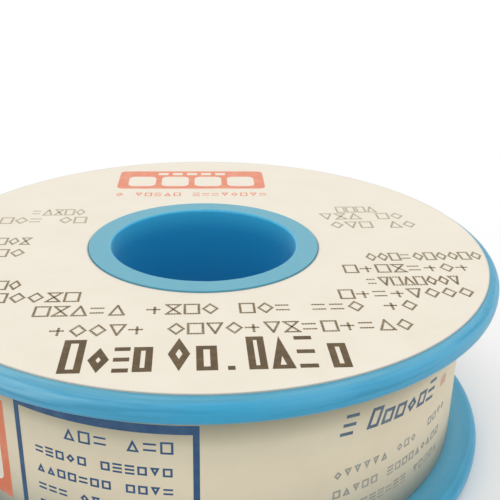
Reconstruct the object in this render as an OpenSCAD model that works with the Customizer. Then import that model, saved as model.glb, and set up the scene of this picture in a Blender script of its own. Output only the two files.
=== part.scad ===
// Solder wire spool: two like flanges snapped onto a winding barrel, a
// flux-cored wire wound on it, a round label on the upper flange and a paper
// band round the winding. Millimetres. The spool stands on the hub ring of its
// lower flange at z = 0, and its axis is Z.

/* [Flanges] */
// Outer diameter of both flanges
flange_d = 58; // [50:1:80]
// Thickness of a flange
flange_t = 1.85; // [1.8:0.05:3]
// Radius of the rounding on both edges of the rim
rim_round = 0.8; // [0.3:0.05:0.85]

/* [Hub] */
// Diameter of the bore that the spool turns on
bore_d = 18.6; // [12:0.2:20]
// Radius of the rounding where a hub ring runs into the bore
bore_lip = 0.2; // [0.1:0.05:0.6]
// Height of the hub ring that stands proud of a flange's outer face
hub_rise = 0.25; // [0.2:0.01:0.6]
// Width of the hub ring and the gap round it, out to the label's hole
hub_ring_w = 2.3; // [1.9:0.1:3]
// Gap between the hub ring and the label's hole
hub_ring_gap = 0.1; // [0.05:0.01:0.3]
// Wall of the sleeve that each flange carries round the bore
sleeve_wall = 1.5; // [1.2:0.1:2.2]
// Wall of the barrel that the wire is wound on
barrel_wall = 2.1; // [1.8:0.1:3]
// Free width between the flanges
winding_w = 15.3; // [12:0.1:32]

/* [Snap joint and keys] */
// Radial clearance between a sleeve and the barrel
sleeve_fit = 0.1; // [0.05:0.01:0.15]
// Gap between the ends of the two sleeves
sleeve_gap = 0.1; // [0.05:0.05:0.5]
// Radius of the bead that snaps into the barrel
bead_r = 0.35; // [0.25:0.05:0.45]
// Depth of the bead's centre below the sleeve's surface
bead_sink = 0.05; // [0.05:0.01:0.1]
// Distance of the bead from the end of its sleeve
bead_back = 2; // [1.5:0.1:3]
// Clearance round a bead and round a key
key_fit = 0.1; // [0.05:0.01:0.15]
// Width of each key that stops the flange turning on the barrel
key_w = 3; // [2:0.1:4]
// Reach of each key out from its sleeve
key_reach = 1.2; // [0.8:0.1:1.3]
// Height of each key above the flange
key_h = 1.2; // [0.8:0.1:2]

/* [Wire] */
// Diameter of the solder wire
wire_d = 1; // [0.7:0.05:1.2]
// Diameter of the flux core inside the wire
flux_d = 0.4; // [0.2:0.05:0.45]
// Reach of the flanges past the wrapped winding
rim_reach = 2.95; // [2:0.05:5]
// Least gap wanted between neighbouring turns of the outer layer
turn_gap = 0.45; // [0.42:0.01:0.6]
// Radius of the bends at the two ends of the outer layer
bend_r = 1.2; // [1:0.1:1.6]
// Clearance of the winding from each flange
winding_gap = 0.1; // [0.05:0.05:0.3]
// Clearance of the first outer turn from the upper flange
turn_edge_gap = 0.3; // [0.2:0.05:0.6]
// Extra diameter of the holes that hold the wire's ends
hole_play = 0.6; // [0.4:0.1:1]
// Distance of the start hole's axis from the barrel
start_hole_out = 1; // [0.9:0.1:2]
// Depth of the wire's cut ends below the lower flange's outer face
end_sink = 0.5; // [0.2:0.05:0.8]

/* [Labels] */
// Thickness of the label paper
paper_t = 0.12; // [0.08:0.01:0.2]
// Bare margin of the flange outside the round label
label_margin = 1; // [1:0.05:3]
// Shift of the round label's cut edge along X
label_shift_x = 0.15; // [0:0.01:0.3]
// Shift of the round label's cut edge along Y
label_shift_y = 0.4; // [0:0.01:0.5]
// Clearance of the paper band from each flange
band_edge_gap = 0.15; // [0.1:0.05:0.4]
// Clearance between the paper band and the wire
band_fit = 0.05; // [0.03:0.01:0.1]
// Length of the band's overlap, along its curve
band_lap = 8; // [5:0.5:15]
// Direction of the overlap's middle, counted from X
band_lap_angle = 115; // [0:5:355]

/* [Moulding marks] */
// Diameter of each ejector pin mark
ejector_d = 3.2; // [2:0.1:4]
// Depth of each ejector pin mark
ejector_deep = 0.12; // [0.05:0.01:0.2]
// Diameter of the dimple that sinks the gate
gate_dimple_d = 2.6; // [2:0.1:3]
// Diameter of the gate's stub
gate_d = 0.8; // [0.5:0.1:1.2]

/* [Hidden] */
$fn = 96;

// Overshoot of a cutting solid past the face that it cuts
cut = 1;
// Overlap of solids that are joined into one
weld = 0.02;

// Radii and heights that follow from the sizes above
flange_r = flange_d / 2;
bore_r = bore_d / 2;
label_r = flange_r - label_margin;
label_hole_r = bore_r + hub_ring_w;
hub_ring_r = label_hole_r - hub_ring_gap;
sleeve_r = bore_r + sleeve_wall;
barrel_bore_r = sleeve_r + sleeve_fit;
barrel_r = barrel_bore_r + barrel_wall;
flange_in = hub_rise + flange_t;
spool_h = winding_w + 2 * flange_in;
sleeve_top = (spool_h - sleeve_gap) / 2;
sleeve_chamfer = sleeve_wall / 5;
bead_z = sleeve_top - bead_back;
key_angles = [60, 180, 300];

// The winding: radii of the paper band, the outer turns and the layers beneath
band_r = flange_r - rim_reach;
turn_r = band_r - paper_t - band_fit - wire_d / 2;
layers_r = turn_r - wire_d / 2 - band_fit;
layers_z = flange_in + winding_gap;
layers_h = winding_w - 2 * winding_gap;

// The outer turns run down from the upper flange and leave room for their last bend
turn_top = spool_h - flange_in - turn_edge_gap - wire_d / 2;
turn_end = flange_in + wire_d + bend_r;
outer_turns = min(24, floor((turn_top - turn_end) / (wire_d + turn_gap)));
turn_pitch = (turn_top - turn_end) / outer_turns;
TURN_RINGS = 24;
BEND_RINGS = 6;
WIRE_SIDES = 6;

// The holes for the wire's two ends, both in the direction of X
hole_r = (wire_d + hole_play) / 2;
start_r = barrel_r + start_hole_out;
finish_r = sqrt(turn_r * turn_r + bend_r * bend_r);
finish_lag = asin(bend_r / finish_r);
pocket_r = turn_r - bend_r - wire_d;
cut_end_z = hub_rise + end_sink;

// Moulding marks on a flange's outer face
mark_r = (label_r + label_hole_r) / 2;
ejector_angles = [45, 135, 225, 315];
gate_angle = 180;

plastic_blue = "#4FA6CC";
solder_grey = "#B9BCC0";
flux_amber = "#C98A2E";
label_cream = "#F2EAD9";
band_cream = "#EFE6D2";

// Half section of a flange, outer face down: hub ring, web, rounded rim and sleeve
module flange_section() {
    rim_x = flange_r - rim_round;
    difference() {
        union() {
            translate([bore_r, 0])
                square([hub_ring_r - bore_r, flange_in]);
            translate([bore_r, hub_rise])
                square([rim_x - bore_r, flange_t]);
            for (y = [hub_rise + rim_round, flange_in - rim_round])
                translate([rim_x, y])
                    circle(r = rim_round);
            translate([rim_x - weld, hub_rise + rim_round])
                square([rim_round + weld, flange_t - 2 * rim_round]);
            translate([bore_r, 0])
                square([sleeve_wall, sleeve_top]);
            translate([sleeve_r - bead_sink, bead_z])
                circle(r = bead_r);
        }
        bore_lip_cut();
        translate([sleeve_r, sleeve_top])
            polygon([[weld, -sleeve_chamfer - weld], [weld, weld], [-sleeve_chamfer - weld, weld]]);
    }
}

// What the rounding takes off the corner between the hub ring and the bore
module bore_lip_cut() {
    difference() {
        translate([bore_r - cut, -cut])
            square([bore_lip + cut, bore_lip + cut]);
        translate([bore_r + bore_lip, bore_lip])
            circle(r = bore_lip);
    }
}

// The one flange moulding, outer face down, with keys, wire holes and mould marks
module flange_moulding() {
    difference() {
        union() {
            rotate_extrude()
                flange_section();
            for (a = key_angles)
                rotate([0, 0, a])
                    translate([sleeve_r - weld, -key_w / 2, flange_in - weld])
                        cube([key_reach + weld, key_w, key_h + weld]);
        }
        for (r = [start_r, finish_r])
            translate([r, 0, -cut])
                cylinder(h = flange_in + 2 * cut, r = hole_r);
        for (a = ejector_angles)
            rotate([0, 0, a])
                translate([mark_r, 0, hub_rise - cut])
                    cylinder(h = ejector_deep + cut, d = ejector_d);
        rotate([0, 0, gate_angle])
            translate([mark_r, 0, hub_rise - cut])
                gate_dimple(ejector_deep + cut);
    }
}

// A round dimple that leaves the gate's stub standing, just below the outer face
module gate_dimple(depth) {
    stub_drop = ejector_deep / 4;
    difference() {
        cylinder(h = depth, d = gate_dimple_d);
        translate([0, 0, depth - ejector_deep + stub_drop])
            cylinder(h = ejector_deep, d = gate_d);
    }
}

module upper_flange() {
    color(plastic_blue)
        translate([0, 0, spool_h])
            rotate([180, 0, 0])
                flange_moulding();
}

module lower_flange() {
    color(plastic_blue)
        flange_moulding();
}

// The barrel: a plain tube with a groove for each bead and notches for the keys
module winding_barrel() {
    notch_w = key_w + 2 * key_fit;
    notch_h = key_h + key_fit;
    color(plastic_blue)
        difference() {
            translate([0, 0, flange_in])
                cylinder(h = winding_w, r = barrel_r);
            translate([0, 0, flange_in - cut])
                cylinder(h = winding_w + 2 * cut, r = barrel_bore_r);
            for (z = [bead_z, spool_h - bead_z])
                translate([0, 0, z])
                    rotate_extrude()
                        translate([sleeve_r - bead_sink, 0])
                            circle(r = bead_r + key_fit);
            for (a = key_angles, z = [flange_in - cut, spool_h - flange_in - notch_h])
                rotate([0, 0, a])
                    translate([bore_r, -notch_w / 2, z])
                        cube([sleeve_wall + key_reach + key_fit, notch_w, notch_h + cut]);
        }
}

// Every layer of wire under the outer one, as a plain ring with a pocket where
// the wire climbs out of it
module solder_inner_layers() {
    pocket_w = wire_d + hole_play;
    color(solder_grey)
        difference() {
            translate([0, 0, layers_z])
                cylinder(h = layers_h, r = layers_r);
            translate([0, 0, layers_z - cut])
                cylinder(h = layers_h + 2 * cut, r = barrel_r + band_fit);
            rotate([0, 0, -finish_lag])
                translate([pocket_r, -bend_r - pocket_w / 2, turn_top - pocket_w / 2])
                    cube([layers_r, bend_r + pocket_w, pocket_w + winding_gap + turn_edge_gap]);
        }
}

// Unit vectors out from the axis and along the turn, at an angle round it
function outward(a) = [cos(a), sin(a), 0];
function along(a) = [-sin(a), cos(a), 0];
UP = [0, 0, 1];

// Centre line of the outer layer: out of the pocket, round a bend, down the
// turns, round a second bend and down to the lower flange
first_angle = -finish_lag;
pocket_corner = outward(first_angle) * (turn_r - bend_r) - along(first_angle) * bend_r + UP * turn_top;
last_corner = outward(first_angle) * turn_r + along(first_angle) * bend_r + UP * (turn_end - bend_r);
run_in = [for (s = [wire_d, wire_d / 2]) pocket_corner - outward(first_angle) * s];
bend_in = [
    for (i = [0:BEND_RINGS - 1])
        let (a = 90 * (1 - i / BEND_RINGS))
            outward(first_angle) * (turn_r - bend_r + bend_r * cos(a))
            - along(first_angle) * bend_r * sin(a) + UP * turn_top
];
turns = [
    for (i = [0:TURN_RINGS * outer_turns])
        let (t = i / TURN_RINGS)
            outward(first_angle + 360 * t) * turn_r + UP * (turn_top - turn_pitch * t)
];
bend_out = [
    for (i = [1:BEND_RINGS])
        let (a = 90 * i / BEND_RINGS)
            outward(first_angle) * turn_r + along(first_angle) * bend_r * sin(a)
            + UP * (turn_end - bend_r + bend_r * cos(a))
];
run_out = [for (s = [wire_d / 2, wire_d]) last_corner - UP * s];
wire_line = concat(run_in, bend_in, turns, bend_out, run_out);

// Least gap between stretches of the wire that are more than half a turn apart
function gap_from(i) = min([
    for (j = [i + TURN_RINGS / 2:len(wire_line) - 1]) norm(wire_line[i] - wire_line[j])
]);
least_gap = min([for (i = [0:len(wire_line) - 1 - TURN_RINGS / 2]) gap_from(i)]) - wire_d;
echo(least_gap_between_turns = least_gap, turns = outer_turns);

// A frame that doesn't twist: one side keeps level up to the middle of the
// turns, and after that one side keeps facing out
function unit(v) = v / norm(v);
function heading(p, i) = unit(p[min(i + 1, len(p) - 1)] - p[max(i - 1, 0)]);
function level_frame(t) = let (v = unit(UP - t * (UP * t))) [cross(t, v), v];
function facing_frame(t, p) =
    let (out = unit([p[0], p[1], 0]), u = unit(out - t * (out * t))) [u, cross(u, t)];
function ring(p, i) =
    let (t = heading(p, i), f = i < len(p) / 2 ? level_frame(t) : facing_frame(t, p[i]))
        [for (k = [0:WIRE_SIDES - 1])
            let (a = 360 * k / WIRE_SIDES)
                p[i] + wire_d / 2 * (f[0] * cos(a) + f[1] * sin(a))];

// One closed tube along a list of points, all its faces triangles
module wire_tube(p) {
    n = WIRE_SIDES;
    last = len(p) - 1;
    skin = [
        for (i = [0:last - 1], k = [0:n - 1])
            let (a = i * n + k, b = i * n + (k + 1) % n)
                each [[a, b, b + n], [a, b + n, a + n]]
    ];
    near_end = [for (k = [1:n - 2]) [0, k + 1, k]];
    far_end = [for (k = [1:n - 2]) [last * n, last * n + k, last * n + k + 1]];
    polyhedron([for (i = [0:last]) each ring(p, i)], concat(skin, near_end, far_end), convexity = 10);
}

// The outer layer of wire, one unbroken length
module solder_outer_turns() {
    color(solder_grey)
        wire_tube(wire_line);
}

// A straight cut end of the wire, with the channel that the flux fills
module wire_end(x, top) {
    translate([x, 0, cut_end_z])
        difference() {
            cylinder(h = top - cut_end_z, d = wire_d);
            translate([0, 0, -cut])
                cylinder(h = top - cut_end_z + 2 * cut, d = flux_d);
        }
}

// Where the wire begins, in the hole beside the barrel
module solder_start_end() {
    color(solder_grey)
        wire_end(start_r, layers_z);
}

// Where the wire finishes, in the hole below the outer turns
module solder_finish_end() {
    color(solder_grey)
        wire_end(finish_r, flange_in);
}

// The flux that shows in both cut ends
module rosin_flux_core() {
    color(flux_amber)
        for (e = [[start_r, layers_z], [finish_r, flange_in]])
            translate([e[0], 0, cut_end_z])
                cylinder(h = e[1] - cut_end_z, d = flux_d);
}

// The round paper label on the upper flange, round its hub ring
module round_label() {
    color(label_cream)
        translate([0, 0, spool_h - hub_rise])
            difference() {
                translate([label_shift_x, label_shift_y, 0])
                    cylinder(h = paper_t, r = label_r);
                translate([0, 0, -cut])
                    cylinder(h = paper_t + 2 * cut, r = label_hole_r);
            }
}

// The paper band round the winding, with its end lapped over its start
module paper_band() {
    lap_angle = band_lap / band_r * 180 / PI;
    band_h = winding_w - 2 * band_edge_gap;
    color(band_cream)
        translate([0, 0, flange_in + band_edge_gap])
            union() {
                rotate_extrude()
                    translate([band_r - paper_t, 0])
                        square([paper_t, band_h]);
                rotate([0, 0, band_lap_angle - lap_angle / 2])
                    rotate_extrude(angle = lap_angle)
                        translate([band_r - weld, 0])
                            square([paper_t + weld, band_h]);
            }
}

upper_flange();
lower_flange();
winding_barrel();
solder_inner_layers();
solder_outer_turns();
solder_start_end();
solder_finish_end();
rosin_flux_core();
round_label();
paper_band();
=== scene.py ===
# %% [markdown]
# # A spool of flux-cored solder wire
# A low blue plastic spool, wound full of solder, with a round paper label on its
# upper flange and a paper band round the winding. The rigid pieces come finished
# from the construction model. This lesson gives them their surfaces, and makes what
# that model only stands in for: the paper, the print and the wound wire.

# %% Load the construction model
import math
import random

import bmesh
import bpy
from mathutils import Matrix, Vector


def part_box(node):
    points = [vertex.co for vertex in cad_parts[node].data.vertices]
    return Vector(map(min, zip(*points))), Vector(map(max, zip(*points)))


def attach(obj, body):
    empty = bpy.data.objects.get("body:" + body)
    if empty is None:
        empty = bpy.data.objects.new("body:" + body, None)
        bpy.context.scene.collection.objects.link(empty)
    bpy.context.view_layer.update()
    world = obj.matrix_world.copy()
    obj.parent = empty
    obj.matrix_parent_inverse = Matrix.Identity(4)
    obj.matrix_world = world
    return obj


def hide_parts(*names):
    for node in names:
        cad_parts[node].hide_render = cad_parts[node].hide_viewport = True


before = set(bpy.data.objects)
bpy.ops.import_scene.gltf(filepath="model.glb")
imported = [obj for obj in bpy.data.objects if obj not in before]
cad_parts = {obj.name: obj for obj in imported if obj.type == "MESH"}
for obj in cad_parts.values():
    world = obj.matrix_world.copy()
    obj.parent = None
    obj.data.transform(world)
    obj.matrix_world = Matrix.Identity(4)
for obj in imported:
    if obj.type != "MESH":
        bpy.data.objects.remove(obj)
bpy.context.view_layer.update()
MM = 0.001
BODY = "root"
print("nodes:", sorted(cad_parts))

# %% [markdown]
# ## Sizes that the lesson needs
# Every new piece has to sit on what carries it, so its place is read from the
# construction model's nodes. A node's box gives its lowest and highest corner, and
# the spool's axis is Z, so half the box's width is a radius. A box doesn't show a
# hole or a step, so the paper's gauge, the bore, the rise of the hub ring and the
# label's hole are typed in.

# %% Read the sizes from the nodes
def radius_of(node):
    low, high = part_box(node)
    return (high.x - low.x) / 2


def height_of(node):
    low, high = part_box(node)
    return low.z, high.z


PAPER = 0.12 * MM
rim_radius = radius_of("upper_flange")
label_top = height_of("round_label")[1]
spool_top = height_of("upper_flange")[1]
band_low, band_high = height_of("paper_band")
band_middle = (band_low + band_high) / 2
band_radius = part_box("paper_band")[1].x
barrel_radius = radius_of("winding_barrel")
layers_radius = radius_of("solder_inner_layers")
layers_low, layers_high = height_of("solder_inner_layers")
flange_low = height_of("winding_barrel")[0]
finish_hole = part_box("solder_finish_end")
finish_radius = (finish_hole[0].x + finish_hole[1].x) / 2
BORE_RADIUS = 9.3 * MM
HUB_RISE = 0.25 * MM
LABEL_HOLE = 11.6 * MM
WIRE = finish_hole[1].x - finish_hole[0].x
print("band radius and height in mm:", band_radius / MM, (band_high - band_low) / MM)
print("wire in mm:", WIRE / MM, "its end hole at", finish_radius / MM)

# %% [markdown]
# ## The camera
# The spool is seen from in front and a little above, from close by, so the near rim
# looks much larger than the far one. The camera stands a set distance from the middle
# of the hub ring, and is then turned a few degrees from it. Its three turns are given
# as angles, and its lens from how many pixels wide a picture of 500 pixels sees.

# %% Place the camera
HUB_RING_CENTRE = Vector((0, 0, label_top))
CAMERA_DISTANCE = 80.87 * MM
CAMERA_ELEVATION = math.radians(22.472)
CAMERA_YAW = math.radians(3.303)
CAMERA_PITCH = math.radians(-0.550)
CAMERA_ROLL = math.radians(-0.263)
FOCAL_PIXELS = 795.2
PICTURE_PIXELS = 500
SENSOR = 36


def make_camera():
    ahead = Vector((0, math.cos(CAMERA_ELEVATION), -math.sin(CAMERA_ELEVATION)))
    place = HUB_RING_CENTRE - CAMERA_DISTANCE * ahead
    right = Vector((1, 0, 0))
    up = right.cross(ahead)
    ahead, right = (
        ahead * math.cos(CAMERA_YAW) + right * math.sin(CAMERA_YAW),
        right * math.cos(CAMERA_YAW) - ahead * math.sin(CAMERA_YAW),
    )
    ahead, up = (
        ahead * math.cos(CAMERA_PITCH) + up * math.sin(CAMERA_PITCH),
        up * math.cos(CAMERA_PITCH) - ahead * math.sin(CAMERA_PITCH),
    )
    right, up = (
        right * math.cos(CAMERA_ROLL) + up * math.sin(CAMERA_ROLL),
        up * math.cos(CAMERA_ROLL) - right * math.sin(CAMERA_ROLL),
    )
    data = bpy.data.cameras.new("camera")
    data.sensor_width = SENSOR
    data.lens = FOCAL_PIXELS / PICTURE_PIXELS * SENSOR
    data.clip_start = MM
    camera = bpy.data.objects.new("camera", data)
    turn = Matrix((right, up, -ahead)).transposed().to_4x4()
    camera.matrix_world = Matrix.Translation(place) @ turn
    bpy.context.scene.collection.objects.link(camera)
    bpy.context.scene.camera = camera
    return camera


camera = make_camera()
print("camera at", [round(c / MM, 1) for c in camera.matrix_world.translation])

# %% [markdown]
# ## Helpers for materials
# A colour is written as a web colour and turned to linear light, because shaders
# work in linear light. One function adds a node with its settings and its links.

# %% Helpers for materials
def colour(web):
    channels = [int(web[i : i + 2], 16) / 255 for i in (1, 3, 5)]
    light = [c / 12.92 if c <= 0.04045 else ((c + 0.055) / 1.055) ** 2.4 for c in channels]
    return (*light, 1)


def add(tree, kind, inputs=None, **settings):
    node = tree.nodes.new(kind)
    for name, value in settings.items():
        setattr(node, name, value)
    for name, value in (inputs or {}).items():
        if isinstance(value, bpy.types.NodeSocket):
            tree.links.new(value, node.inputs[name])
        else:
            node.inputs[name].default_value = value
    return node


def start_material(name, **shader_inputs):
    material = bpy.data.materials.new(name)
    material.use_nodes = True
    tree = material.node_tree
    shader = tree.nodes["Principled BSDF"]
    for socket, value in shader_inputs.items():
        shader.inputs[socket.replace("_", " ")].default_value = value
    place = add(tree, "ShaderNodeTexCoord").outputs["Object"]
    return material, tree, shader, place


def noise(tree, place, size, detail=2.0, roughness=0.5):
    """Noise whose lumps are about that size, in metres."""
    node = add(
        tree,
        "ShaderNodeTexNoise",
        {"Vector": place, "Scale": 1 / size, "Detail": detail, "Roughness": roughness},
    )
    return node.outputs["Fac"]


def between(tree, factor, low, high, first=0.0, last=1.0):
    """Maps a factor that runs from first to last onto low to high."""
    node = add(
        tree,
        "ShaderNodeMapRange",
        {"Value": factor, "From Min": first, "From Max": last, "To Min": low, "To Max": high},
    )
    return node.outputs["Result"]


def blend_colours(tree, factor, first, second, mode="MIX"):
    node = add(tree, "ShaderNodeMix", data_type="RGBA", blend_type=mode)
    for socket, value in ((0, factor), (6, first), (7, second)):
        if isinstance(value, bpy.types.NodeSocket):
            tree.links.new(value, node.inputs[socket])
        else:
            node.inputs[socket].default_value = value
    return node.outputs[2]


def maths(tree, operation, first, second=0.5):
    """Arithmetic on one or two numbers or node outputs."""
    return add(tree, "ShaderNodeMath", {0: first, 1: second}, operation=operation).outputs[0]


def multiply(tree, first, second):
    return maths(tree, "MULTIPLY", first, second)


def upward(tree):
    """How far a surface faces up, from -1 to 1."""
    normal = add(tree, "ShaderNodeNewGeometry").outputs["Normal"]
    return add(tree, "ShaderNodeSeparateXYZ", {"Vector": normal}).outputs["Z"]


def distance_in_plan(tree, place, centre):
    """How far each point is from a centre, seen from above."""
    moved = add(
        tree, "ShaderNodeVectorMath", {0: place, 1: (*centre, 0)}, operation="SUBTRACT"
    ).outputs[0]
    plan = add(
        tree, "ShaderNodeVectorMath", {0: moved, 1: (1, 1, 0)}, operation="MULTIPLY"
    ).outputs[0]
    return add(tree, "ShaderNodeVectorMath", {0: plan}, operation="LENGTH").outputs["Value"]


def bump(tree, shader, height, depth, strength=1.0):
    node = add(
        tree, "ShaderNodeBump", {"Height": height, "Distance": depth, "Strength": strength}
    )
    tree.links.new(node.outputs["Normal"], shader.inputs["Normal"])


# %% [markdown]
# ## Helpers for shapes
# Paper and print are made flat, as they are in a press: X runs to the right along
# the sheet and Y up it. A figure is given by its corners in a square from 0 to 1,
# which is then stretched, leant over, turned and set down on the sheet. A closed
# figure is drawn by insetting its face by the weight of the pen and taking out the
# middle. Then the sheet is either laid on the flange, or cut across at every
# bending step and wrapped round the winding.

# %% Helpers for shapes
BEND_STEP = 0.8 * MM
CUT_TOLERANCE = 0.001 * MM
FRONT = math.radians(-90)


def on_sheet(u, v, x, y, width, height, lean=0.0, turn=0.0):
    """Where a figure's corner (u, v) comes, if the middle of its foot is at (x, y)."""
    right = (u - 0.5) * width + v * height * math.tan(lean)
    up = v * height
    return (
        x + right * math.cos(turn) - up * math.sin(turn),
        y + right * math.sin(turn) + up * math.cos(turn),
    )


def flat_face(mesh, corners):
    face = mesh.faces.new([mesh.verts.new((x, y, 0)) for x, y in corners])
    face.normal_update()
    return face


def plate(mesh, x, y, width, height, lean=0.0, turn=0.0):
    """A filled rectangle whose foot has its middle at (x, y)."""
    corners = ((0, 0), (1, 0), (1, 1), (0, 1))
    return flat_face(mesh, [on_sheet(u, v, x, y, width, height, lean, turn) for u, v in corners])


def rounded_plate(mesh, x, y, width, height, corner):
    """A filled rectangle with rounded corners."""
    face = plate(mesh, x, y, width, height)
    bmesh.ops.bevel(
        mesh,
        geom=face.verts[:],
        affect="VERTICES",
        offset=corner,
        segments=5,
        profile=0.5,
        material=-1,
    )


def draw_figure(mesh, figure, weight, *where):
    """A closed figure as an outline, or separate strokes as bars of that weight."""
    if figure[0] == figure[-1]:
        face = flat_face(mesh, [on_sheet(u, v, *where) for u, v in figure[:-1]])
        bmesh.ops.inset_region(
            mesh, faces=[face], thickness=weight, use_boundary=True, use_even_offset=True
        )
        bmesh.ops.delete(mesh, geom=[face], context="FACES")
        return
    for a, b in strokes(figure):
        ax, ay = on_sheet(*a, *where)
        bx, by = on_sheet(*b, *where)
        run = math.hypot(bx - ax, by - ay)
        sx, sy = weight / 2 * (ay - by) / run, weight / 2 * (bx - ax) / run
        ends = ((ax, ay, -1), (bx, by, -1), (bx, by, 1), (ax, ay, 1))
        flat_face(mesh, [(x + sx * side, y + sy * side) for x, y, side in ends])


def strokes(figure):
    """The straight strokes of a figure: None lifts the pen."""
    return [(a, b) for a, b in zip(figure, figure[1:]) if a and b]


def cut_across(mesh):
    """Cuts every face across at each bending step, so that the sheet can bend."""
    low = min(vert.co.x for vert in mesh.verts)
    high = max(vert.co.x for vert in mesh.verts)
    for k in range(1, math.ceil((high - low) / BEND_STEP)):
        bmesh.ops.bisect_plane(
            mesh,
            geom=mesh.verts[:] + mesh.edges[:] + mesh.faces[:],
            dist=CUT_TOLERANCE,
            plane_co=(low + BEND_STEP * k, 0, 0),
            plane_no=(1, 0, 0),
        )


def thicken(mesh, low, high):
    """Turns flat plates at height 0 into closed solids from low to high."""
    made = bmesh.ops.extrude_face_region(mesh, geom=mesh.faces[:], use_keep_orig=True)
    tops = [item for item in made["geom"] if isinstance(item, bmesh.types.BMVert)]
    top_set = set(tops)
    for vert in mesh.verts:
        vert.co.z = high if vert in top_set else low


def wrap(mesh, radius, start, lift=None):
    """Bends a flat sheet round the spool's axis: X runs round it, Y becomes height."""
    for vert in mesh.verts:
        x, y, z = vert.co
        out = radius + z + (lift(x) if lift else 0)
        angle = start + x / radius
        vert.co = (out * math.cos(angle), out * math.sin(angle), y)


def keep(mesh, name, material, smooth=False):
    """Closes a mesh up and makes it a piece that belongs to the spool's body."""
    bmesh.ops.recalc_face_normals(mesh, faces=mesh.faces[:])
    for face in mesh.faces:
        face.smooth = smooth
    data = bpy.data.meshes.new(name)
    mesh.to_mesh(data)
    mesh.free()
    data.materials.append(material)
    piece = bpy.data.objects.new(name, data)
    bpy.context.scene.collection.objects.link(piece)
    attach(piece, BODY)
    print(name, len(data.polygons), "faces")
    return piece


# %% [markdown]
# ## Moulded polystyrene
# The flanges and the barrel are high-impact polystyrene, coloured right through and
# injection moulded in a satin tool. The eye gets a broad soft sheen and a clean
# blue, with the faintest cloud where the melt flowed. Light goes a short way into
# it. The tool's flat faces are spark eroded, and they slide on shelves and on other
# spools, so they are paler, greyer and duller than the rounded rim and the bore. The
# sides that face the winding are paler too, but keep more of their blue. The top of
# the bore's wall is painted paler than its depth: painted light, as the sky reaches
# into the mouth of the bore. A film of fine dust pales what is seen at a low angle.
# The rim is turned in the hand, which draws fine pale streaks along it. The pale
# streaks are also a painted reflection: they are strongest on the left (-X) side of
# the spool, weaker on its right, and towards the flanges' outer faces. They are noise
# that is stretched along the rim: it changes quickly with height and radius, and
# slowly with the place round the spool.

# %% Moulded polystyrene
RUB_LENGTH = 8 * MM
RUB_WIDTH = 0.35 * MM


def rim_streaks_and_painted_reflection(tree, place, radius, across, reach, plain):
    """Draws pale and deep streaks along the rim; the pale ones are partly a painted reflection,
    strongest on the left (-X) side and towards the rim's outer side.
    """
    along_rim = add(
        tree,
        "ShaderNodeVectorMath",
        {0: place, 1: (1 / RUB_LENGTH, 1 / RUB_LENGTH, 1 / RUB_WIDTH)},
        operation="MULTIPLY",
    ).outputs[0]
    streak = add(
        tree,
        "ShaderNodeTexNoise",
        {"Vector": along_rim, "W": multiply(tree, radius, 1 / RUB_WIDTH), "Scale": 1, "Detail": 3},
        noise_dimensions="4D",
    ).outputs["Fac"]
    at_rim = between(tree, radius, 0, 1, rim_radius - 2 * MM, rim_radius - MM)
    # Painted reflection: the pale streaks are strongest on the left (-X) side and weaker on the
    # right.
    left = between(tree, across, 0.9, 0.06, -12 * MM, -1 * MM)
    right = between(tree, across, 0, 0.2, 3 * MM, 9 * MM)
    painted_reflection_sides = maths(tree, "ADD", left, right)
    outside = between(tree, reach, 0, 1, spool_top / 2 - 1.8 * MM, spool_top / 2 - 0.7 * MM)
    pale_streaks_and_painted_reflection = multiply(tree, between(tree, streak, 0.25, 1, 0.4, 0.63), multiply(tree, painted_reflection_sides, outside))
    deep = between(tree, streak, 0.7, 0, 0.35, 0.52)
    plain = blend_colours(tree, multiply(tree, deep, at_rim), plain, colour("#048CB2"))
    return blend_colours(tree, multiply(tree, pale_streaks_and_painted_reflection, at_rim), plain, colour("#86C4DC"))


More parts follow.
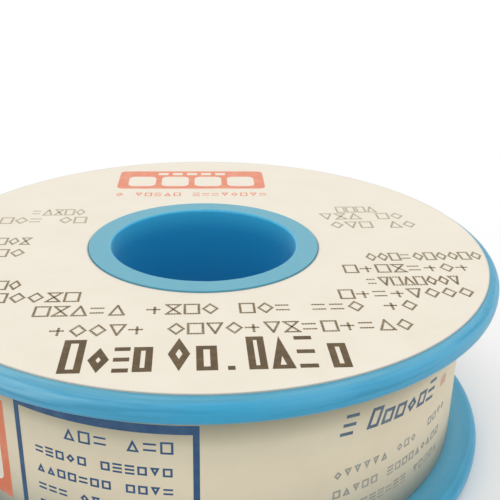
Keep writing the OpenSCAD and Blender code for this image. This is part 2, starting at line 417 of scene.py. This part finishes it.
def moulded_polystyrene():
    material, tree, shader, place = start_material(
        "moulded_polystyrene", IOR=1.59, Subsurface_Weight=0.2, Sheen_Weight=0.18, Sheen_Roughness=0.4
    )
    shader.inputs["Subsurface Scale"].default_value = MM
    shader.inputs["Subsurface Radius"].default_value = (0.2, 0.8, 1.2)
    cloud = noise(tree, place, 9 * MM, 3)
    plain = blend_colours(tree, cloud, colour("#089AC7"), colour("#13A5CE"))
    rubs = between(tree, noise(tree, place, 1.1 * MM, 4, 0.65), 0, 0.10, 0.55, 0.75)
    plain = blend_colours(tree, rubs, plain, colour("#6FBFE0"))
    parts = add(tree, "ShaderNodeSeparateXYZ", {"Vector": place}).outputs
    across = add(tree, "ShaderNodeCombineXYZ", {"X": parts["X"], "Y": parts["Y"]}).outputs[0]
    radius = add(tree, "ShaderNodeVectorMath", {0: across}, operation="LENGTH").outputs["Value"]
    # Painted light: the top of the bore's wall is painted paler than its depth.
    painted_mouth_light = between(tree, parts["Z"], 0, 0.9, spool_top - 2.4 * MM, spool_top - 0.1 * MM)
    bore = between(tree, radius, 1, 0, BORE_RADIUS + 0.05 * MM, BORE_RADIUS + 0.4 * MM)
    plain = blend_colours(tree, bore, plain, colour("#1A9BD0"))
    plain = blend_colours(tree, multiply(tree, painted_mouth_light, bore), plain, colour("#3FC0E6"))
    facing = maths(tree, "ABSOLUTE", upward(tree))
    flat = between(tree, facing, 0, 1, 0.85, 0.99)
    near_rim = between(tree, radius, 1.0, 0.35, rim_radius - 2 * MM, rim_radius - MM)
    scuffed = between(tree, noise(tree, place, 0.8 * MM, 4, 0.7), 0.8, 1.0, 0.3, 0.6)
    flat = multiply(tree, multiply(tree, flat, near_rim), scuffed)
    reach = maths(tree, "ABSOLUTE", maths(tree, "SUBTRACT", parts["Z"], spool_top / 2))
    outer = between(tree, reach, 0, 1, spool_top / 2 - 1.4 * MM, spool_top / 2 - 0.7 * MM)
    worn = blend_colours(tree, outer, colour("#5FB4D4"), colour("#62AEC2"))
    # Pale and deep streaks along the rim; the pale ones are partly real and partly a painted
    # reflection.
    plain = rim_streaks_and_painted_reflection(tree, place, radius, parts["X"], reach, plain)
    ring = between(tree, reach, 0, 1, spool_top / 2 - HUB_RISE, spool_top / 2 - HUB_RISE + 0.02 * MM)
    ring = multiply(tree, ring, between(tree, radius, 0, 0.9, LABEL_HOLE - MM, LABEL_HOLE - 0.3 * MM))
    flat = maths(tree, "MAXIMUM", flat, ring)
    tree.links.new(blend_colours(tree, flat, plain, worn), shader.inputs["Base Color"])
    sheen = between(tree, noise(tree, place, 3 * MM, 3), 0.36, 0.48)
    dull = maths(tree, "ADD", sheen, multiply(tree, flat, 0.12))
    tree.links.new(dull, shader.inputs["Roughness"])
    bump(tree, shader, noise(tree, place, 0.3 * MM, 2), 0.004 * MM)
    return material


polystyrene = moulded_polystyrene()
print("made", polystyrene.name)

# %% [markdown]
# ## Label paper
# The round label is smooth coated paper, cut with a steel die. Up close its face
# has a faint cloudy tone from the fibres. A thin grey line runs just inside both
# cut edges of the label. The band is slit from a warmer paper of the same kind.
# Towards its upper edge it is painted darker and yellower, as painted shade under
# the rim of the upper flange.

# %% Label paper
def coated_paper(name, face, shade, edge):
    material, tree, shader, place = start_material(name, IOR=1.45, Roughness=0.55)
    cloud = noise(tree, place, 5 * MM, 4, 0.6)
    fibres = noise(tree, place, 0.35 * MM, 3, 0.6)
    tone = blend_colours(tree, between(tree, cloud, 0, 1, 0.3, 0.7), colour(face), colour(shade))
    tone = blend_colours(tree, between(tree, fibres, 0, 0.25, 0.4, 0.75), tone, colour(shade))
    bump(tree, shader, fibres, 0.004 * MM)
    return tree, shader, place, tone, upward(tree), material, colour(edge)


def face_label_paper():
    tree, shader, place, tone, facing, material, edge = coated_paper(
        "coated_label_paper", "#F4ECDB", "#F0E7D5", "#CFC9BE"
    )
    low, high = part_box("round_label")
    centre = ((low.x + high.x) / 2, (low.y + high.y) / 2)
    rim = (high.x - low.x) / 2
    from_centre = distance_in_plan(tree, place, centre)
    from_axis = distance_in_plan(tree, place, (0, 0))
    # A thin grey line is laid on the paper just inside both cut edges of the label.
    outer = between(tree, from_centre, 0, 0.45, rim - 0.13 * MM, rim - 0.05 * MM)
    inner = between(tree, from_axis, 0.8, 0, LABEL_HOLE + 0.05 * MM, LABEL_HOLE + 0.13 * MM)
    grey_edge_line = maths(tree, "MAXIMUM", outer, inner)
    tone = blend_colours(tree, grey_edge_line, tone, colour("#A9A8AC"))
    side = between(tree, facing, 1, 0, 0.2, 0.8)
    tree.links.new(blend_colours(tree, side, tone, edge), shader.inputs["Base Color"])
    return material


def band_label_paper():
    tree, shader, place, tone, facing, material, edge = coated_paper(
        "slit_band_paper", "#EFE2C6", "#E9DBBE", "#A39C8C"
    )
    height = add(tree, "ShaderNodeSeparateXYZ", {"Vector": place}).outputs["Z"]
    # Painted shade: the band is darker and yellower towards its upper edge, under the upper flange's
    # rim.
    painted_shade_under_rim = between(tree, height, 0, 0.8, band_high - 4 * MM, band_high - 0.8 * MM)
    tone = blend_colours(tree, painted_shade_under_rim, tone, colour("#D2C090"))
    steep = maths(tree, "ABSOLUTE", facing)
    side = between(tree, steep, 0, 1, 0.4, 0.8)
    tree.links.new(blend_colours(tree, side, tone, edge), shader.inputs["Base Color"])
    return material


label_paper = face_label_paper()
band_paper = band_label_paper()
print("made", label_paper.name, "and", band_paper.name)

# %% [markdown]
# ## Solder and rosin
# Solder wire of 60 parts tin to 40 of lead is a soft grey metal, drawn through a die.
# Drawing leaves it bright along the wire with fine streaks, and air dulls it. The
# rosin core is a hard amber resin that shows only where the wire is cut.

# %% Solder and rosin
def drawn_solder():
    material, tree, shader, place = start_material("drawn_tin_lead_solder", Metallic=1.0)
    dull = noise(tree, place, 2.5 * MM, 4, 0.6)
    tone = blend_colours(tree, dull, colour("#B4B6BA"), colour("#9C9DA0"))
    streaks = noise(tree, place, 0.12 * MM, 2)
    tree.links.new(tone, shader.inputs["Base Color"])
    tree.links.new(between(tree, dull, 0.28, 0.45), shader.inputs["Roughness"])
    bump(tree, shader, streaks, 0.006 * MM)
    return material


def rosin():
    material, tree, shader, place = start_material(
        "rosin_flux_resin", IOR=1.54, Roughness=0.2, Subsurface_Weight=0.4, Subsurface_Scale=MM
    )
    depth = noise(tree, place, 0.2 * MM, 2)
    tree.links.new(
        blend_colours(tree, depth, colour("#B9731C"), colour("#D69A3A")),
        shader.inputs["Base Color"],
    )
    return material


solder = drawn_solder()
flux = rosin()
print("made", solder.name, "and", flux.name)

# %% [markdown]
# ## Materials of the rigid nodes
# The nodes keep their shape and place, and only their surfaces are set. The band and
# the wound wire aren't named here, because new pieces take their place below.

# %% Give the rigid nodes their materials
def finish_node(node, material):
    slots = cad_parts[node].data.materials
    for i in range(len(slots)):
        slots[i] = material
    print(node, "is", material.name)


for node in ("upper_flange", "lower_flange", "winding_barrel"):
    finish_node(node, polystyrene)
for node in ("solder_start_end", "solder_finish_end"):
    finish_node(node, solder)
finish_node("rosin_flux_core", flux)
finish_node("round_label", label_paper)

# %% [markdown]
# ## The outer layer of wire
# One unbroken wire comes up out of the layers beneath, bends into the outer layer,
# winds down turn against turn, and bends once more into its hole in the lower
# flange. The construction model lays eight open turns on this route. Here the turns
# lie as close as a winding machine lays them.

# %% The outer layer of wire
BEND = 1.2 * MM
BEND_PARTS = 6
TURN_GAP = 0.01 * MM
RINGS_A_TURN = 72
WIRE_SIDES = 10
turn_radius = math.sqrt(finish_radius**2 - BEND**2)
first_angle = -math.asin(BEND / finish_radius)
turn_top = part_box("solder_outer_turns")[1].z - WIRE / 2
turn_end = flange_low + WIRE + BEND


def point(angle, radius, along, height):
    """A point out at an angle, moved on along the turn, at a height."""
    out = Vector((math.cos(angle), math.sin(angle), 0))
    on = Vector((-math.sin(angle), math.cos(angle), 0))
    return out * radius + on * along + Vector((0, 0, height))


def outer_route():
    turns = int((turn_top - turn_end) / (WIRE + TURN_GAP))
    drop = turn_top - turn_end
    route = [point(first_angle, turn_radius - BEND - s, -BEND, turn_top) for s in (WIRE, WIRE / 2)]
    for i in range(BEND_PARTS):
        bend = math.radians(90 * (1 - i / BEND_PARTS))
        route.append(
            point(
                first_angle,
                turn_radius - BEND + BEND * math.cos(bend),
                -BEND * math.sin(bend),
                turn_top,
            )
        )
    for i in range(RINGS_A_TURN * turns + 1):
        t = i / RINGS_A_TURN
        height = turn_top - drop * t / turns
        route.append(point(first_angle + math.tau * t, turn_radius, 0, height))
    for i in range(1, BEND_PARTS + 1):
        bend = math.radians(90 * i / BEND_PARTS)
        height = turn_end - BEND + BEND * math.cos(bend)
        route.append(point(first_angle, turn_radius, BEND * math.sin(bend), height))
    for s in (WIRE / 2, WIRE):
        route.append(point(first_angle, turn_radius, BEND, turn_end - BEND - s))
    length = sum((b - a).length for a, b in zip(route, route[1:]))
    print("outer layer:", turns, "turns,", round(length, 3), "m of wire")
    return route


def wire_along(route):
    """One closed round wire: a ring is carried along the route without twisting."""
    mesh = bmesh.new()
    ahead = (route[1] - route[0]).normalized()
    side = ahead.orthogonal().normalized()
    rings = []
    for i, here in enumerate(route):
        step = route[min(i + 1, len(route) - 1)] - route[max(i - 1, 0)]
        turn = ahead.rotation_difference(step.normalized())
        side = turn @ side
        ahead = step.normalized()
        up = ahead.cross(side)
        ring = []
        for k in range(WIRE_SIDES):
            angle = math.tau * k / WIRE_SIDES
            ring.append(
                mesh.verts.new(here + WIRE / 2 * (side * math.cos(angle) + up * math.sin(angle)))
            )
        rings.append(ring)
    for near, far in zip(rings, rings[1:]):
        for k in range(WIRE_SIDES):
            j = (k + 1) % WIRE_SIDES
            mesh.faces.new((near[k], near[j], far[j], far[k]))
    mesh.faces.new(rings[0][::-1])
    mesh.faces.new(rings[-1])
    return mesh


outer_turns = keep(wire_along(outer_route()), "outer_wire_layer", solder, smooth=True)
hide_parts("solder_outer_turns")

# %% [markdown]
# ## The layers beneath
# Only the last of the covered layers can be seen, past the ends of the band, so
# it is one ring whose face carries the turns. A row of half circles is spun round
# the axis, with a straight back against the barrel.

# %% The layers beneath
BACK_GAP = 0.05 * MM
RING_STEPS = 96
TURN_POINTS = 6
TURN_START = -80
TURN_STEP = 32


def inner_layers():
    mesh = bmesh.new()
    count = int((layers_high - layers_low) / WIRE)
    pitch = (layers_high - layers_low) / count
    back = barrel_radius + BACK_GAP
    profile = [mesh.verts.new((back, 0, layers_low))]
    for i in range(count):
        middle = layers_low + pitch * (i + 0.5)
        for k in range(TURN_POINTS):
            angle = math.radians(TURN_START + TURN_STEP * k)
            out = layers_radius - pitch / 2 + pitch / 2 * math.cos(angle)
            profile.append(mesh.verts.new((out, 0, middle + pitch / 2 * math.sin(angle))))
    profile.append(mesh.verts.new((back, 0, layers_high)))
    edges = [mesh.edges.new((a, b)) for a, b in zip(profile, profile[1:] + profile[:1])]
    bmesh.ops.spin(
        mesh,
        geom=profile + edges,
        cent=(0, 0, 0),
        axis=(0, 0, 1),
        angle=math.tau,
        steps=RING_STEPS,
        use_merge=True,
    )
    return mesh


layers = keep(inner_layers(), "covered_wire_layers", solder, smooth=True)
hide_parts("solder_inner_layers")

# %% [markdown]
# ## The paper band
# A strip a little longer than the way round. It is cut flat, thickened to the paper's
# gauge and wrapped, and its last stretch climbs by one gauge onto its own start.

# %% The paper band
LAP_MIDDLE = math.radians(115)
LAP = 8 * MM
LAP_CLIMB = 1.5 * MM
LAP_GAP = 0.005 * MM
BAND_PARTS = 190


def paper_band():
    around = math.tau * band_radius
    mesh = bmesh.new()
    place = Matrix.Translation(((around + LAP) / 2, band_middle, 0))
    size = Matrix.Diagonal((around + LAP, band_high - band_low, 1, 1))
    bmesh.ops.create_grid(mesh, x_segments=BAND_PARTS, y_segments=2, size=0.5, matrix=place @ size)
    thicken(mesh, -PAPER, 0)

    def climb(x):
        t = min(1, max(0, (x - around + LAP_CLIMB) / LAP_CLIMB))
        return (PAPER + LAP_GAP) * t * t * (3 - 2 * t)

    wrap(mesh, band_radius, LAP_MIDDLE - LAP / 2 / band_radius, climb)
    return mesh


band = keep(paper_band(), "lapped_paper_band", band_paper, smooth=True)
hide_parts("paper_band")

# %% [markdown]
# ## Ink
# Needle-printer ribbon ink is brown-black and soaks in unevenly, a little paler
# where the ribbon was dry, and the rows at the label's back were struck last, with
# the least ink. Offset ink is flat and even. Both lie a hundredth of a millimetre
# proud of the paper and take its surface.

# %% Ink
def ink(name, web, dry, patch, faded=0.0):
    material, tree, shader, place = start_material(name, IOR=1.45, Roughness=0.5)
    wear = between(tree, noise(tree, place, patch, 3, 0.6), 0, 1, 0.45, 0.75)
    tone = blend_colours(tree, wear, colour(web), colour(dry))
    back = add(tree, "ShaderNodeSeparateXYZ", {"Vector": place}).outputs["Y"]
    fade = between(tree, back, 0, faded, -8 * MM, 10 * MM)
    tone = blend_colours(tree, fade, tone, colour("#EDE4D2"))
    tree.links.new(tone, shader.inputs["Base Color"])
    return material


ribbon_ink = ink("ribbon_ink", "#776444", "#9E8C67", 0.6 * MM, faded=0.5)
bold_ink = ink("bold_ribbon_ink", "#56411D", "#6E5830", 0.8 * MM)
red_ink = ink("offset_ink_red", "#EB8C6C", "#F0A384", 1.5 * MM)
cream_ink = ink("offset_ink_cream", "#F4ECDB", "#F0E7D5", 1.5 * MM)
navy_ink = ink("offset_ink_navy", "#27517A", "#3D6386", 1.5 * MM)
slate_ink = ink("offset_ink_slate", "#4F6577", "#6B7E8C", 1.5 * MM)
grey_ink = ink("offset_ink_grey", "#9C9C92", "#B4B3A8", 1.5 * MM)
band_red_ink = ink("band_ink_red", "#E67C55", "#EB9272", 1.5 * MM)
rose_ink = ink("offset_ink_rose", "#D2A58E", "#D9B6A2", 1.5 * MM)
print("inks:", sorted(m.name for m in bpy.data.materials if "ink" in m.name.split("_")))

# %% [markdown]
# ## Marks in place of words
# The print says nothing: each character of a row is a plain geometric figure, such
# as a square, a triangle or a pair of dashes. A needle printer strikes its figures
# as rows of dots. A row is its left end, its height on the label, the step from
# character to character, and how many characters each word has, in millimetres on
# the sheet with the origin on the spool's axis.

# %% Marks in place of words
DOT = 0.27 * MM
DOT_STEP = 0.25 * MM
FINE_PEN = 0.17 * MM
FIGURE_SHARE = 0.76
PRINT_TURN = math.radians(1.0)
SQUARE = ((0, 0), (1, 0), (1, 1), (0, 1), (0, 0))
DIAMOND = ((0.5, 0), (1, 0.5), (0.5, 1), (0, 0.5), (0.5, 0))
TRIANGLE = ((0, 0), (1, 0), (0.5, 1), (0, 0))
WEDGE = ((0, 1), (0.5, 0), (1, 1), (0, 1))
HOURGLASS = ((0, 0), (1, 0), (0, 1), (1, 1), (0, 0))
PLUS = ((0, 0.5), (1, 0.5), None, (0.5, 0.1), (0.5, 0.9))
TWO_DASHES = ((0, 0.25), (1, 0.25), None, (0, 0.75), (1, 0.75))
THREE_DASHES = ((0, 0.07), (1, 0.07), None, (0, 0.5), (1, 0.5), None, (0, 0.93), (1, 0.93))
POST = ((0.5, 0), (0.5, 1))
TYPED = (SQUARE, DIAMOND, TRIANGLE, SQUARE, WEDGE, TWO_DASHES, HOURGLASS, PLUS, SQUARE, DIAMOND)
DRAWN = (SQUARE, DIAMOND, SQUARE, THREE_DASHES, TRIANGLE, SQUARE, TWO_DASHES, WEDGE)
dice = random.Random(7)


def type_figure(mesh, *where):
    """A figure struck in dots."""
    for a, b in strokes(dice.choice(TYPED)):
        ax, ay = on_sheet(*a, *where)
        bx, by = on_sheet(*b, *where)
        count = max(1, round(math.hypot(bx - ax, by - ay) / DOT_STEP))
        for k in range(count):
            spot = (ax + (bx - ax) * k / count, ay + (by - ay) * k / count, 0)
            bmesh.ops.create_circle(
                mesh,
                cap_ends=True,
                segments=6,
                radius=DOT / 2,
                matrix=Matrix.Translation(spot),
            )


def small_figure(mesh, *where):
    """A figure drawn with a fine pen."""
    draw_figure(mesh, dice.choice(DRAWN), FINE_PEN, *where)


def row_of_marks(mesh, character, x, y, pitch, words, height, turn=0.0):
    """Words of figures along a row, whose foot starts at (x, y), all in millimetres."""
    step = 0
    for word in words:
        for _ in range(word):
            along = pitch * (step + 0.5)
            foot_x = (x + along * math.cos(turn)) * MM
            foot_y = (y + along * math.sin(turn)) * MM
            width = pitch * FIGURE_SHARE * MM
            character(mesh, foot_x, foot_y, width, height * MM, 0, turn)
            step += 1
        step += 1


# %% [markdown]
# ## The rows of the round label
# The needle-printed rows, each as its left end, its height on the label, its step
# and its words. They are turned by one degree against the offset print, as the sheet
# went through the needle printer a little askew.

# %% The printed rows of the round label
TYPED_ROWS = (
    (-18.9, 8.9, 1.17, (5,)),
    (-21.9, 6.4, 1.56, (3, 2)),
    (-23.2, 0.5, 1.17, (5,)),
    (-23.6, -2.5, 1.56, (4,)),
    (-20.9, -9.8, 1.17, (4,)),
    (-23.1, -12.4, 1.56, (8,)),
    (14.9, 9.6, 1.17, (4,)),
    (12.8, 7.4, 1.58, (3, 2)),
    (13.6, 4.8, 1.58, (3, 2)),
    (15.8, -3.9, 1.17, (10,)),
    (13.1, -6.7, 1.55, (8,)),
    (14.9, -9.5, 1.10, (8,)),
    (11.8, -12.1, 1.55, (8,)),
    (-14.3, -14.9, 1.56, (5, 4, 3, 3, 2)),
    (-12.4, -18.3, 1.56, (5, 13)),
)
TYPED_HEIGHT = 1.7
INK = 0.01 * MM


def print_on_label(mesh, name, material, coats=1):
    """Lays flat marks on the round label, one coat of ink over another."""
    thicken(mesh, 0, INK)
    for vert in mesh.verts:
        vert.co.z += label_top + INK * (coats - 1)
    return keep(mesh, name, material)


mesh = bmesh.new()
for left, middle, pitch, words in TYPED_ROWS:
    foot = middle - TYPED_HEIGHT / 2
    row_of_marks(mesh, type_figure, left, foot, pitch, words, TYPED_HEIGHT, PRINT_TURN)
print_on_label(mesh, "typed_rows", ribbon_ink)

# %% [markdown]
# ## The bold row and the panel
# The bold row is drawn with a broad pen and not in dots: each figure has its own
# place, width and height. The panel is a plain red plate, with pale shapes laid on
# it as a second coat of ink.

# %% The bold row and the panel of the round label
BOLD_FOOT = -24.5
BOLD_PEN = 0.55
TALL = 4.9
LOW = 3.6
BOLD_ROW = (
    (-9.9, 1.7, TALL, SQUARE),
    (-7.9, 1.6, LOW, DIAMOND),
    (-6.2, 1.2, LOW, THREE_DASHES),
    (-4.6, 1.45, LOW, SQUARE),
    (-1.9, 1.7, TALL, DIAMOND),
    (0.2, 1.6, LOW, SQUARE),
    (2.0, 0.5, 0.55, POST),
    (4.0, 1.4, TALL, SQUARE),
    (5.9, 1.8, TALL, TRIANGLE),
    (7.8, 1.4, TALL, THREE_DASHES),
    (10.3, 1.45, LOW, SQUARE),
)
PANEL = (-1.5, 20.6, 18.0, 6.9)
PANEL_CORNER = 0.8 * MM
PANEL_ROW = (14.4, 1.13, (1, 5, 8), 1.2)
PANEL_DASHES = 5


def panel_shapes(mesh, x, y, width, height, squares):
    """What shows pale in a panel: a row of dashes over a row of rounded squares."""
    step = width * 0.9 / squares
    for k in range(squares):
        middle = (x + step * (k - (squares - 1) / 2)) * MM
        foot = (y - height * 0.37) * MM
        rounded_plate(mesh, middle, foot, step * 0.82 * MM, height * 0.54 * MM, PANEL_CORNER)
    for k in range(PANEL_DASHES):
        middle = (x + width * (0.1 * k - 0.2)) * MM
        plate(mesh, middle, (y + height * 0.27) * MM, width * 0.07 * MM, height * 0.12 * MM)


mesh = bmesh.new()
for middle, width, height, figure in BOLD_ROW:
    foot = BOLD_FOOT + middle * math.tan(PRINT_TURN)
    sizes = (width * MM, height * MM, 0, PRINT_TURN)
    draw_figure(mesh, figure, BOLD_PEN * MM, middle * MM, foot * MM, *sizes)
print_on_label(mesh, "bold_row", bold_ink)
x, y, width, height = PANEL
mesh = bmesh.new()
rounded_plate(mesh, x * MM, (y - height / 2) * MM, width * MM, height * MM, PANEL_CORNER)
row_of_marks(mesh, small_figure, x - width / 2, *PANEL_ROW)
print_on_label(mesh, "label_panel", red_ink)
mesh = bmesh.new()
panel_shapes(mesh, x, y, width, height, 4)
print_on_label(mesh, "label_panel_shapes", cream_ink, coats=2)

# %% [markdown]
# ## The print of the band
# Printed flat, cut across and wrapped at the band's radius: a framed block of small
# rows, a bold row that leans and falls away, loose small rows, a red panel and a
# small rounded mark.

# %% The print of the band
FRAME_LEFT = -15.9
FRAME_RIGHT = -0.4
FRAME_LOW = 3.4
FRAME_HIGH = 15.6
FRAME_LINE = 0.5
FRAME_TOP_LINE = 0.8
BAND_PANEL = (-22.4, 9.6, 10.2, 9.6)
BOLD_BAND_ROW = (10.6, 12.8, 1.55, (1, 6))
BOLD_BAND_FIGURES = (SQUARE, SQUARE, THREE_DASHES, DIAMOND)
BOLD_BAND_PEN = 0.3 * MM
BOLD_BAND_TALL = 1.85
BOLD_BAND_LOW = 1.35
BOLD_BAND_WORD_GAP = 0.7
LEAN = math.radians(14)
FALL = math.radians(-5)
FRAMED_ROWS = (
    (-11.3, 13.0, 1.3, (3, 3), 1.1),
    (-14.1, 10.9, 0.98, (5, 6), 0.8),
    (-14.1, 9.1, 0.98, (7, 4), 0.8),
    (-14.1, 7.3, 0.98, (3, 8), 0.8),
    (-14.1, 5.5, 0.98, (4, 4), 0.8),
)
SMALL_PITCH = 0.98
SMALL_HEIGHT = 0.8
ROUND_MARK = (24.7 * MM, 11.9 * MM, 1.3 * MM, 1.0 * MM, 0.3 * MM)
SMALL_ROWS = ((22.0, 8.9, (4,)), (10.4, 8.6, (6, 3)), (10.4, 6.7, (5, 9)), (10.4, 4.8, (9, 5)))


def print_on_band(mesh, name, material, coats=1):
    cut_across(mesh)
    thicken(mesh, INK * (coats - 1), INK * coats)
    wrap(mesh, band_radius, FRONT)
    return keep(mesh, name, material)


def band_frame(mesh):
    width = FRAME_RIGHT - FRAME_LEFT
    middle = FRAME_LEFT + width / 2
    upright = FRAME_HIGH - FRAME_TOP_LINE - FRAME_LOW - FRAME_LINE
    plate(mesh, middle * MM, FRAME_LOW * MM, width * MM, FRAME_LINE * MM)
    plate(mesh, middle * MM, (FRAME_HIGH - FRAME_TOP_LINE) * MM, width * MM, FRAME_TOP_LINE * MM)
    for side in (FRAME_LEFT + FRAME_LINE / 2, FRAME_RIGHT - FRAME_LINE / 2):
        plate(mesh, side * MM, (FRAME_LOW + FRAME_LINE) * MM, FRAME_LINE * MM, upright * MM)


def bold_band_row(mesh, x, y, pitch, words):
    """Bold leaning figures, tall at a word's start and end, on a row that falls away."""
    step = 0
    for word in words:
        for k in range(word):
            tall = BOLD_BAND_TALL if k in (0, word - 1) else BOLD_BAND_LOW
            along = pitch * (step + 0.5)
            foot = y + along * math.tan(FALL)
            figure = dice.choice(BOLD_BAND_FIGURES)
            sizes = (pitch * 0.8 * MM, tall * MM, LEAN, FALL)
            draw_figure(mesh, figure, BOLD_BAND_PEN, (x + along) * MM, foot * MM, *sizes)
            step += 1
        step += BOLD_BAND_WORD_GAP


mesh = bmesh.new()
band_frame(mesh)
for left, foot, pitch, words, height in FRAMED_ROWS:
    row_of_marks(mesh, small_figure, left, foot, pitch, words, height)
print_on_band(mesh, "band_frame_and_rows", navy_ink)
mesh = bmesh.new()
bold_band_row(mesh, *BOLD_BAND_ROW)
print_on_band(mesh, "band_bold_row", slate_ink)
mesh = bmesh.new()
for left, foot, words in SMALL_ROWS:
    row_of_marks(mesh, small_figure, left, foot, SMALL_PITCH, words, SMALL_HEIGHT)
print_on_band(mesh, "band_small_rows", grey_ink)
x, y, width, height = BAND_PANEL
mesh = bmesh.new()
plate(mesh, x * MM, (y - height / 2) * MM, width * MM, height * MM)
print_on_band(mesh, "band_panel", band_red_ink)
mesh = bmesh.new()
rounded_plate(mesh, *ROUND_MARK)
print_on_band(mesh, "band_round_mark", rose_ink)
mesh = bmesh.new()
panel_shapes(mesh, x, y, width, height, 2)
print_on_band(mesh, "band_panel_shapes", cream_ink, coats=2)

# %% [markdown]
# ## Floor and light
# A white floor that keeps the spool's shadow, a wide lamp overhead and an even sky,
# as in a light tent. Together they add up to about one on a level surface, so a
# colour renders about as it is written. The floor throws back less light than it
# shows, as a paper sweep that ends near the spool does, and it fades to plain white.

# %% Floor and light
FLOOR_SIZE = 6.0
FLOOR_DROP = 0.02 * MM
FLOOR_FADE = (0.034, 0.08)
LAMP_PLACE = (-0.35, -0.25, 2.2)
LAMP_SIZE = 1.6
LAMP_POWER = 5
SKY_STRENGTH = 0.905


def sees_background(tree):
    """1 for rays from the camera or off a gloss, which see the plain white background."""
    path = add(tree, "ShaderNodeLightPath").outputs
    seen = path["Is Camera Ray"]
    for kind in ("Is Glossy Ray", "Is Transmission Ray"):
        seen = maths(tree, "MAXIMUM", seen, path[kind])
    return seen


def make_floor():
    mesh = bmesh.new()
    level = Matrix.Translation((0, 0, -FLOOR_DROP))
    bmesh.ops.create_grid(mesh, x_segments=1, y_segments=1, size=FLOOR_SIZE / 2, matrix=level)
    data = bpy.data.meshes.new("floor")
    mesh.to_mesh(data)
    mesh.free()
    floor = bpy.data.objects.new("floor", data)
    material, tree, shader, place = start_material("white_floor", Roughness=0.9)
    seen = sees_background(tree)
    tree.links.new(
        blend_colours(tree, seen, colour("#DCDCDC"), colour("#FDFDFD")), shader.inputs["Base Color"]
    )
    away = add(tree, "ShaderNodeVectorMath", {0: place}, operation="LENGTH").outputs["Value"]
    far = between(tree, away, 0, 1, *FLOOR_FADE)
    white = add(tree, "ShaderNodeEmission", {"Color": (1, 1, 1, 1), "Strength": 1.0})
    mix = add(tree, "ShaderNodeMixShader", {0: multiply(tree, far, seen)})
    tree.links.new(shader.outputs[0], mix.inputs[1])
    tree.links.new(white.outputs[0], mix.inputs[2])
    tree.links.new(mix.outputs[0], tree.nodes["Material Output"].inputs["Surface"])
    data.materials.append(material)
    bpy.context.scene.collection.objects.link(floor)


def make_lamp(name, place, target, size, power):
    data = bpy.data.lights.new(name, "AREA")
    data.shape = "DISK"
    data.size = size
    data.energy = power
    lamp = bpy.data.objects.new(name, data)
    aim = (Vector(target) - Vector(place)).to_track_quat("-Z", "Y").to_matrix().to_4x4()
    lamp.matrix_world = Matrix.Translation(place) @ aim
    bpy.context.scene.collection.objects.link(lamp)


def make_sky(strength):
    world = bpy.data.worlds.new("sky")
    world.use_nodes = True
    tree = world.node_tree
    sky = tree.nodes["Background"]
    sky.inputs["Color"].default_value = (1, 1, 1, 1)
    sky.inputs["Strength"].default_value = strength
    seen = add(tree, "ShaderNodeBackground", {"Color": (1, 1, 1, 1), "Strength": 1.0})
    choose = add(tree, "ShaderNodeMixShader", {0: sees_background(tree)})
    tree.links.new(sky.outputs[0], choose.inputs[1])
    tree.links.new(seen.outputs[0], choose.inputs[2])
    tree.links.new(choose.outputs[0], tree.nodes["World Output"].inputs["Surface"])
    bpy.context.scene.world = world


make_floor()
make_lamp("overhead_softbox", LAMP_PLACE, (0, 0, 0), LAMP_SIZE, LAMP_POWER)
make_sky(SKY_STRENGTH)
print("lamp power", LAMP_POWER, "and sky strength", SKY_STRENGTH)
bpy.context.scene.view_settings.view_transform = "Standard"
